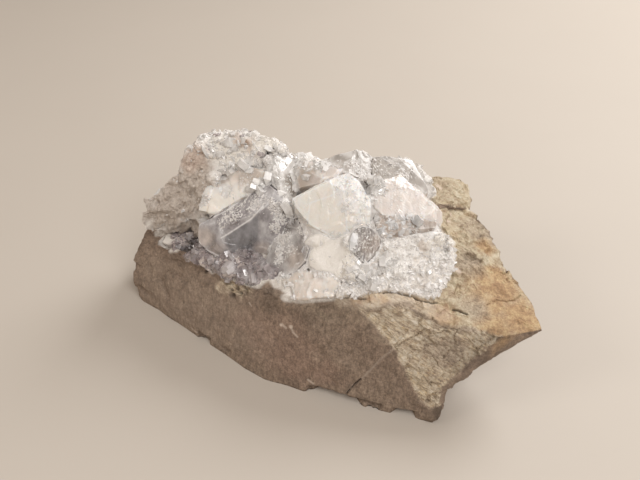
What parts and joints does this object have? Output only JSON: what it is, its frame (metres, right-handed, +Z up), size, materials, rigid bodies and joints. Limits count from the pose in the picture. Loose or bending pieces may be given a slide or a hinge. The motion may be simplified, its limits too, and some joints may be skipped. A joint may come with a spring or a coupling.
{
  "type": "celestite crystal cluster",
  "caption": "Jumble of pale blue, milky and grey celestite crystals and sugary crystal crusts grown on a wedge of broken grey-brown limestone.",
  "frame": {"origin": "under the middle of the specimen, on the surface that it rests on", "axes": "+Z up; +X along the specimen, towards its pointed overhanging corner; -Y towards its flat broken front face"},
  "size_m": [0.119, 0.08, 0.0531],
  "materials": {
    "limestone": "matt broken limestone, ochre stained in places",
    "clear_crystal": "clear, faintly blue-grey crystal with glassy cleavage faces",
    "milky_crystal": "cloudy white to cream crystal with satin faces",
    "grey_crystal": "translucent grey to pinkish brown crystal",
    "crystal_crust": "frosty crust of small glittering crystals"
  },
  "bodies": {
    "root": {"limestone_matrix": "limestone", "blue_crystal": "clear_crystal", "front_grey_crystal": "clear_crystal", "cream_crystal": "milky_crystal", "crest_crystal": "milky_crystal", "centre_crystal": "milky_crystal", "back_white_crystal": "milky_crystal", "right_crystal": "milky_crystal", "front_vein": "milky_crystal", "back_grey_crystal": "grey_crystal", "corner_grey_crystal": "grey_crystal", "striated_crystal": "grey_crystal", "brown_crystal": "grey_crystal", "knob_crust": "crystal_crust", "sugary_crust": "crystal_crust", "front_druse": "crystal_crust", "pocket_druse": "crystal_crust"}
  },
  "joints": []
}
